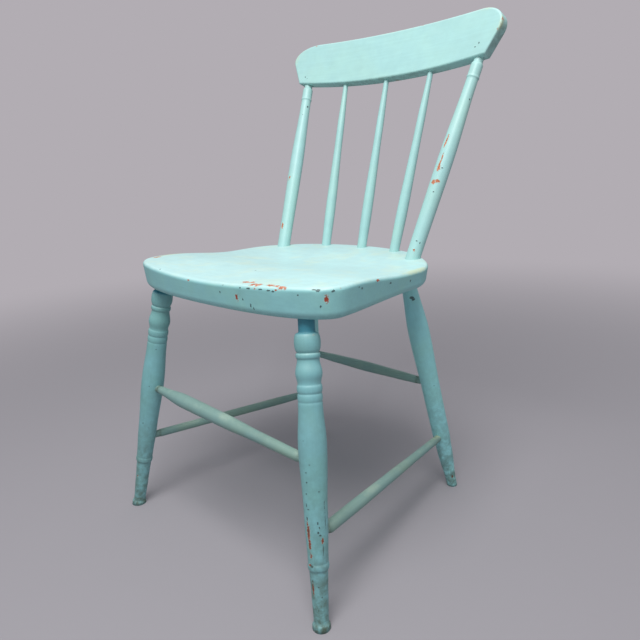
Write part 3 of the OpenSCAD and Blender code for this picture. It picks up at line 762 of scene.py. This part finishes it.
CREST_THIN = [(226, 44, -8, 6, 30, 4), (0, 87, -8, 200, 5, 6), (200, 84, -4, 26, 8, 9),
              (-222, 60, -4, 10, 26, 8)]
board = crest_point(flats, offs)
places = np.concatenate([flats, offs[..., None]], axis=-1)
board[..., 1] += seat_slide / MM
half = CREST["thick"] / 2
near_edge = np.minimum(np.abs(flats[..., 1] - CREST["high"]), np.abs(CREST["half"] - np.abs(flats[..., 0])))
crest_wear = soft(np.abs(offs), half - CREST["edge"] - 0.5, half - 1) * soft(near_edge, 9, 3)
# Painted shade along the crest rail's lower edge; the grime from handling on its right end follows.
crest_dirt_and_shade = soft(flats[..., 1], 5, 0) * 0.4
end_face = soft(flats[..., 0], 203, 209) * soft(offs, -10, -6) * soft(flats[..., 1], 66, 50)
crest_dirt_and_shade = np.maximum(crest_dirt_and_shade, end_face * 0.55)
crest_masks = board_masks(places, CREST_CHIPS, CREST_SPECKS, CREST_THIN, crest_wear, crest_dirt_and_shade)
crest = finish_board("crest_rail", board * MM, places * MM, crest_masks, ends_meet=True)
print("crest points", len(crest.data.vertices))

# %% [markdown]
# ## Node helpers
# The finish is built from small shader groups, so that all the paint on the chair wears in the
# same way with its own values. Two helpers keep the wiring readable: one adds a node with its
# settings and inputs, the other opens a group with named inputs and outputs.


# %% Helpers for nodes
def srgb(red, green, blue):
    """A colour written as 0 to 255 screen values, turned into the linear values shaders use."""
    value = np.array([red, green, blue]) / 255.0
    linear = np.where(value <= 0.04045, value / 12.92, ((value + 0.055) / 1.055) ** 2.4)
    return (*linear.tolist(), 1.0)


def add(tree, kind, inputs=None, **settings):
    """Adds a node; inputs maps a socket's name or number to a value or to another node's output."""
    node = tree.nodes.new(kind)
    for key, value in settings.items():
        setattr(node, key, value)
    for key, value in (inputs or {}).items():
        if isinstance(value, bpy.types.NodeSocket):
            tree.links.new(value, node.inputs[key])
        else:
            node.inputs[key].default_value = value
    return node


def maths(tree, operation, first, second=0.0, clamp=False):
    """One Math node, as a short call."""
    node = add(tree, "ShaderNodeMath", {0: first, 1: second}, operation=operation, use_clamp=clamp)
    return node.outputs[0]


def ramp(tree, value, low, high, smooth=True):
    """0 at low, 1 at high, smooth or straight between."""
    kind = "SMOOTHSTEP" if smooth else "LINEAR"
    node = add(tree, "ShaderNodeMapRange", {0: value, 1: low, 2: high}, interpolation_type=kind)
    return node.outputs[0]


def mix(tree, share, first, second, blend="MIX"):
    """The first colour where the share is 0, the second where it is 1."""
    node = add(tree, "ShaderNodeMix", {0: share, 6: first, 7: second}, data_type="RGBA", blend_type=blend)
    return node.outputs[2]


def noise(tree, place, scale, detail=3.0, rough=0.55):
    """Noise from 0 to 1, with scale in blobs per metre."""
    inputs = {"Vector": place, "Scale": scale, "Detail": detail, "Roughness": rough}
    return add(tree, "ShaderNodeTexNoise", inputs).outputs["Fac"]


def stretched(tree, place, scale):
    """The place with each direction scaled on its own, so that a pattern becomes streaks."""
    return add(tree, "ShaderNodeVectorMath", {0: place, 1: scale}, operation="MULTIPLY").outputs[0]


def open_group(name, inputs, outputs):
    """A node group with (name, kind, default) inputs and (name, kind) outputs."""
    tree = bpy.data.node_groups.new(name, "ShaderNodeTree")
    for label, kind, default in inputs:
        socket = tree.interface.new_socket(label, in_out="INPUT", socket_type="NodeSocket" + kind)
        if default is not None:
            socket.default_value = default
    for label, kind in outputs:
        tree.interface.new_socket(label, in_out="OUTPUT", socket_type="NodeSocket" + kind)
    return tree, tree.nodes.new("NodeGroupInput").outputs, tree.nodes.new("NodeGroupOutput").inputs


def use_group(tree, group, inputs):
    """Places a group in a material and returns its outputs."""
    return add(tree, "ShaderNodeGroup", inputs, node_tree=group).outputs


# %% [markdown]
# ## Groups: torn edges, scattered chips, brushed paint with a painted highlight, and grime with painted shade
# Torn_Edge turns a smooth chip field into a ragged hole in the paint, with a pale broken rim
# and, in the middle of big ones, bare dark wood. Scattered_Chips adds small random chips, which
# are likelier where the piece's wear mask is high. Brushed_Paint gives brush strokes and cloudy
# colour, and paints faces that look up paler, with cream clouds, as a painted highlight. The grime
# group darkens where parts join and lays a film of grime, and also darkens grooves, undersides
# and the legs' lower parts as painted shade.

# %% Torn edge
TORN, given, made = open_group(
    "Torn_Edge", [("Field", "Float", -1.5), ("Place", "Vector", None), ("Raggedness", "Float", 0.8)],
    [("Bare", "Float"), ("Rim", "Float"), ("Wood", "Float"), ("Height", "Float")])
coarse = maths(TORN, "SUBTRACT", noise(TORN, given["Place"], 330.0, 2.0), 0.5)
fine = maths(TORN, "SUBTRACT", noise(TORN, given["Place"], 1100.0, 2.0), 0.5)
jitter = maths(TORN, "ADD", coarse, maths(TORN, "MULTIPLY", fine, 0.6))
field = maths(TORN, "ADD", given["Field"], maths(TORN, "MULTIPLY", jitter, given["Raggedness"]))
bare = ramp(TORN, field, 0.02, 0.16)
rim = maths(TORN, "MULTIPLY", ramp(TORN, field, -0.38, -0.06), maths(TORN, "SUBTRACT", 1.0, bare))
wood = ramp(TORN, maths(TORN, "ADD", field, maths(TORN, "MULTIPLY", fine, 1.4)), 0.62, 0.9)
for label, value in (("Bare", bare), ("Rim", rim), ("Wood", wood)):
    TORN.links.new(value, made[label])
TORN.links.new(maths(TORN, "SUBTRACT", maths(TORN, "MULTIPLY", rim, 0.3), bare), made["Height"])

# %% Scattered chips
SCATTER, given, made = open_group(
    "Scattered_Chips", [("Place", "Vector", None), ("Wear", "Float", 0.0), ("Amount", "Float", 0.05),
                        ("Per Metre", "Float", 45.0)], [("Field", "Float")])
bent = add(SCATTER, "ShaderNodeTexNoise", {"Vector": given["Place"], "Scale": 160.0, "Detail": 2.0})
bent = stretched(SCATTER, bent.outputs["Color"], (0.006, 0.006, 0.006))
place = stretched(SCATTER, given["Place"], (1.0, 1.0, 0.55))
place = add(SCATTER, "ShaderNodeVectorMath", {0: place, 1: bent}, operation="ADD").outputs[0]
cells = add(SCATTER, "ShaderNodeTexVoronoi",
            {"Vector": place, "Scale": given["Per Metre"], "Randomness": 1.0})
lot = add(SCATTER, "ShaderNodeSeparateColor", {0: cells.outputs["Color"]}).outputs[0]
odds = maths(SCATTER, "ADD", given["Amount"], maths(SCATTER, "MULTIPLY", given["Wear"], 0.22))
size = maths(SCATTER, "SUBTRACT", odds, lot)
size = maths(SCATTER, "MULTIPLY", size, 2.2)
small = maths(SCATTER, "MINIMUM", size, 0.28)
field = maths(SCATTER, "DIVIDE", maths(SCATTER, "SUBTRACT", small, cells.outputs["Distance"]), 0.2)
SCATTER.links.new(maths(SCATTER, "MAXIMUM", field, NO_CHIP), made["Field"])

# %% Brushed paint
BRUSHED, given, made = open_group(
    "Brushed_Paint", [("Place", "Vector", None), ("Colour", "Color", None), ("Cloud Colour", "Color", None),
                      ("Faded Colour", "Color", None), ("Cream Colour", "Color", None),
                      ("Fading", "Float", 0.5), ("Strokes", "Vector", (500.0, 500.0, 18.0))],
    [("Colour", "Color"), ("Faded", "Float"), ("Height", "Float"), ("Roughness", "Float")])
streaks = noise(BRUSHED, stretched(BRUSHED, given["Place"], given["Strokes"]), 1.0, 4.0, 0.6)
clouds = noise(BRUSHED, given["Place"], 14.0, 4.0, 0.6)
patches = noise(BRUSHED, given["Place"], 60.0, 3.0, 0.6)
facing = add(BRUSHED, "ShaderNodeNewGeometry").outputs["Normal"]
facing = add(BRUSHED, "ShaderNodeSeparateXYZ", {0: facing}).outputs["Z"]
# Painted highlight: faces that look up are mixed towards the paler third colour and cream clouds, standing in
# for the lamp's sheen on them.
painted_highlight = maths(BRUSHED, "MULTIPLY", ramp(BRUSHED, facing, 0.15, 0.95), given["Fading"])
colour = mix(BRUSHED, ramp(BRUSHED, clouds, 0.35, 0.75), given["Colour"], given["Cloud Colour"])
colour = mix(BRUSHED, painted_highlight, colour, given["Faded Colour"])
cream_clouds = noise(BRUSHED, given["Place"], 22.0, 5.0, 0.65)
creamy = maths(BRUSHED, "MULTIPLY", ramp(BRUSHED, cream_clouds, 0.45, 0.75), painted_highlight)
colour = mix(BRUSHED, maths(BRUSHED, "MULTIPLY", creamy, 0.5), colour, given["Cream Colour"])
blotch = maths(BRUSHED, "MULTIPLY", patches, 0.14)
tone = maths(BRUSHED, "ADD", maths(BRUSHED, "MULTIPLY", streaks, 0.16), blotch)
tone = maths(BRUSHED, "ADD", tone, 0.85)
tint = add(BRUSHED, "ShaderNodeCombineColor", {0: tone, 1: tone, 2: tone}).outputs[0]
BRUSHED.links.new(mix(BRUSHED, 1.0, colour, tint, "MULTIPLY"), made["Colour"])
BRUSHED.links.new(maths(BRUSHED, "ADD", streaks, maths(BRUSHED, "MULTIPLY", patches, 0.5)), made["Height"])
BRUSHED.links.new(painted_highlight, made["Faded"])
BRUSHED.links.new(ramp(BRUSHED, patches, -0.4, 1.6, smooth=False), made["Roughness"])

# %% Grime and painted shade
GRIME_AND_SHADE, given, made = open_group(
    "Grime", [("Place", "Vector", None), ("Colour", "Color", None), ("Grime Colour", "Color", None),
              ("Dirt", "Float", 0.0), ("Film", "Float", 0.1)], [("Colour", "Color"), ("Amount", "Float")])
blots = noise(GRIME_AND_SHADE, given["Place"], 90.0, 4.0, 0.65)
amount = maths(GRIME_AND_SHADE, "MULTIPLY", given["Dirt"], ramp(GRIME_AND_SHADE, blots, 0.25, 0.7))
smoky = ramp(GRIME_AND_SHADE, noise(GRIME_AND_SHADE, given["Place"], 9.0, 3.0), 0.4, 0.75)
film = maths(GRIME_AND_SHADE, "MULTIPLY", given["Film"], smoky)
amount = maths(GRIME_AND_SHADE, "ADD", amount, film, clamp=True)
GRIME_AND_SHADE.links.new(mix(GRIME_AND_SHADE, amount, given["Colour"], given["Grime Colour"]), made["Colour"])
GRIME_AND_SHADE.links.new(amount, made["Amount"])
print("groups:", sorted(group.name for group in bpy.data.node_groups))

# %% [markdown]
# ## The paint itself
# Gloss paint that has lost some of its shine. From the outside in: grime with painted shade,
# turquoise top coat with brush strokes, a rubbed yellowish place where the coat is thin, the
# brick-red coat in the chips, and dark wood where even that is gone. Dark specks are old chips
# that filled with dirt. Close under the seat a leg's neck is painted deep blue, as painted shade
# from the seat. Faces that look up, on the seat and on the chair's back, are painted paler, in
# the top coat and in the red coat, as a painted highlight for the lamp's sheen.

# %% Paint materials
# The palest brick is the red coat's painted highlight on faces that look up, the deep blue is painted shade
# on the legs' necks under the seat, and the sooty green darkens both real grime and painted shade.
BRICK, DUSTY_BRICK, HIGHLIGHT_BRICK = srgb(166, 70, 48), srgb(206, 124, 88), srgb(216, 140, 108)
SAND, OLD_WOOD, SOOT_AND_SHADE = srgb(198, 160, 140), srgb(84, 60, 52), srgb(82, 98, 84)
CREAM, DEEP_BLUE_SHADE = srgb(212, 226, 200), srgb(44, 139, 163)
BROKEN_RIM, RUBBED, SPECK = srgb(198, 214, 196), srgb(198, 212, 176), srgb(50, 64, 66)


def attribute(tree, name, output="Fac"):
    """Reads one of the piece's own masks."""
    return add(tree, "ShaderNodeAttribute", attribute_name=name).outputs[output]


def chipped_paint(name, colours, primer, highlight_strength, strokes, amount, film, roughness):
    """A material for one kind of piece, built from the shared groups, in three close colours."""
    material = bpy.data.materials.new(name + "_paint")
    material.use_nodes = True
    tree = material.node_tree
    tree.nodes.clear()
    own = attribute(tree, "own", "Vector")
    colour, cloud, painted_highlight = (srgb(*shade) for shade in colours)
    paint = use_group(tree, BRUSHED, {"Place": own, "Colour": colour, "Cloud Colour": cloud,
                                      "Faded Colour": painted_highlight, "Cream Colour": CREAM,
                                      "Fading": highlight_strength, "Strokes": strokes})
    # Painted shade from the seat: a leg's neck turns deep blue.
    sheltered = maths(tree, "MULTIPLY", attribute(tree, "sheltered"), 0.9)
    coat = mix(tree, sheltered, paint["Colour"], DEEP_BLUE_SHADE)
    patchy = maths(tree, "MULTIPLY", noise(tree, own, 260.0, 4.0), 1.1)
    thin = maths(tree, "ADD", attribute(tree, "thin"), patchy)
    rubbed = maths(tree, "MULTIPLY", ramp(tree, thin, 0.35, 1.3), 0.75)
    top = mix(tree, rubbed, coat, RUBBED)
    scattered = use_group(tree, SCATTER, {"Place": own, "Wear": attribute(tree, "wear"), "Amount": amount})
    field = maths(tree, "MAXIMUM", attribute(tree, "chip"), scattered["Field"])
    torn = use_group(tree, TORN, {"Field": field, "Place": own, "Raggedness": 2.1})
    pitted = use_group(tree, TORN, {"Field": attribute(tree, "speck"), "Place": own, "Raggedness": 1.3})
    top = mix(tree, maths(tree, "MULTIPLY", torn["Rim"], 0.4), top, BROKEN_RIM)
    # Painted highlight on the red coat as well: it is paler where faces look up.
    under = mix(tree, paint["Faded"], primer, HIGHLIGHT_BRICK)
    top = mix(tree, torn["Bare"], top, mix(tree, torn["Wood"], under, OLD_WOOD))
    top = mix(tree, maths(tree, "MULTIPLY", pitted["Bare"], 0.85), top, SPECK)
    # Grime, with painted shade where the mask marks grooves, undersides and the legs' lower parts.
    grimed_and_shaded = use_group(tree, GRIME_AND_SHADE, {"Place": own, "Colour": top, "Grime Colour": SOOT_AND_SHADE,
                                    "Dirt": attribute(tree, "dirt"), "Film": film})
    height = maths(tree, "ADD", maths(tree, "MULTIPLY", paint["Height"], 0.06), torn["Height"])
    height = maths(tree, "ADD", height, pitted["Height"])
    bump = add(tree, "ShaderNodeBump", {"Height": height, "Strength": 0.8, "Distance": 0.0004})
    rough = maths(tree, "ADD", maths(tree, "MULTIPLY", paint["Roughness"], 0.2), roughness)
    rough = maths(tree, "ADD", rough, maths(tree, "MULTIPLY", torn["Bare"], 0.35))
    rough = maths(tree, "ADD", rough, maths(tree, "MULTIPLY", grimed_and_shaded["Amount"], 0.3), clamp=True)
    shader = add(tree, "ShaderNodeBsdfPrincipled",
                 {"Base Color": grimed_and_shaded["Colour"], "Roughness": rough, "Normal": bump.outputs[0], "IOR": 1.5})
    add(tree, "ShaderNodeOutputMaterial", {"Surface": shader.outputs[0]})
    return material


# Each kind of piece has its own tones of the one turquoise coat, which are painted light: the crest, posts,
# spindles and rear legs are painted paler, as lit copies, and the front legs and stretchers darker, as shaded
# copies. In each, the first colour is the coat, the second its clouds, and the third the painted highlight on
# faces that look up.
TURQUOISE = (144, 203, 206), (148, 206, 200), (190, 226, 225)
PALE = (164, 209, 207), (168, 212, 205), (190, 226, 225)
LEG = (127, 184, 190), (124, 180, 179), (170, 212, 213)
REAR = (150, 216, 222), (152, 217, 214), (192, 236, 238)
STICK = (120, 156, 153), (128, 158, 144), (140, 168, 158)
ALONG_X, ALONG_AXIS = (14.0, 260.0, 260.0), (340.0, 340.0, 14.0)
PAINTS = {
    "seat": chipped_paint("seat", TURQUOISE, BRICK, 0.9, ALONG_X, 0.010, 0.06, 0.36),
    "crest": chipped_paint("crest", PALE, SAND, 0.6, ALONG_X, 0.012, 0.05, 0.36),
    "turned": chipped_paint("turned", PALE, DUSTY_BRICK, 0.4, ALONG_AXIS, 0.02, 0.05, 0.34),
    "leg_front": chipped_paint("front_leg", LEG, BRICK, 0.4, ALONG_AXIS, 0.02, 0.16, 0.36),
    "leg_rear": chipped_paint("rear_leg", REAR, BRICK, 0.4, ALONG_AXIS, 0.02, 0.1, 0.34),
    "stretcher": chipped_paint("stretcher", STICK, BRICK, 0.5, ALONG_AXIS, 0.02, 0.2, 0.45),
}
for piece in [o for o in bpy.data.objects if o.name.endswith("_painted")]:
    kind = next((kind for kind in PAINTS if piece.name.startswith(kind)), "turned")
    piece.data.materials.append(PAINTS[kind])
    print(piece.name, "->", PAINTS[kind].name, len(piece.data.polygons), "faces")

# %% [markdown]
# ## Floor and light
# A plain pale floor and a plain sky of the same tone stand for the studio. One big soft lamp
# hangs in front, a little to the right and high up, and the sky fills the shadows. Far away the
# floor turns into the sky's colour, for the camera only, so that no horizon shows.

# %% Floor
FLOOR_COLOUR, BACKDROP = srgb(158, 154, 159), srgb(178, 173, 179)
FLOOR_HALF = 30.0
corners = np.array([[-1, -1, 0], [1, -1, 0], [1, 1, 0], [-1, 1, 0]]) * FLOOR_HALF
floor = mesh_object("studio_floor", corners, np.array([[0, 1, 2, 3]]), np.zeros((0, 3), int))
floor_paint = bpy.data.materials.new("floor_paint")
floor_paint.use_nodes = True
tree = floor_paint.node_tree
ground = tree.nodes["Principled BSDF"]
ground.inputs["Base Color"].default_value = FLOOR_COLOUR
ground.inputs["Roughness"].default_value = 0.9
spot = add(tree, "ShaderNodeTexCoord").outputs["Object"]
far = add(tree, "ShaderNodeVectorMath", {0: spot}, operation="LENGTH").outputs["Value"]
to_camera = add(tree, "ShaderNodeLightPath").outputs["Is Camera Ray"]
far = maths(tree, "MULTIPLY", ramp(tree, far, 0.7, 2.6), to_camera)
mist = add(tree, "ShaderNodeEmission", {"Color": BACKDROP})
blend = add(tree, "ShaderNodeMixShader", {0: far, 1: ground.outputs[0], 2: mist.outputs[0]})
tree.links.new(blend.outputs[0], tree.nodes["Material Output"].inputs["Surface"])
floor.data.materials.append(floor_paint)
print("floor reaches", FLOOR_HALF, "m each way")

# %% Lamp and sky
LAMP_PLACE, LAMP_AIM = Vector((0.5, -0.85, 2.15)), Vector((0, 0, 0.5))
LAMP_SIZE, LAMP_WATTS, SKY_STRENGTH = 1.1, 39.0, 0.48
lamp = bpy.data.objects.new("key_lamp", bpy.data.lights.new("key_lamp", "AREA"))
bpy.context.scene.collection.objects.link(lamp)
lamp.data.size = LAMP_SIZE
lamp.data.energy = LAMP_WATTS
lamp.location = LAMP_PLACE
lamp.rotation_euler = (LAMP_AIM - LAMP_PLACE).to_track_quat("-Z", "Y").to_euler()
world = bpy.data.worlds.new("studio")
bpy.context.scene.world = world
world.use_nodes = True
sky = world.node_tree
lit = sky.nodes["Background"]
seen = add(sky, "ShaderNodeBackground", {"Color": BACKDROP, "Strength": 1.0})
lit.inputs["Color"].default_value = (0.93, 0.95, 1.0, 1.0)
lit.inputs["Strength"].default_value = SKY_STRENGTH
choose = add(sky, "ShaderNodeMixShader", {0: add(sky, "ShaderNodeLightPath").outputs["Is Camera Ray"],
                                          1: lit.outputs[0], 2: seen.outputs[0]})
sky.links.new(choose.outputs[0], sky.nodes["World Output"].inputs["Surface"])
bpy.context.scene.view_settings.view_transform = "Standard"
print("lamp", LAMP_WATTS, "W at", tuple(LAMP_PLACE), "and a sky of strength", SKY_STRENGTH)
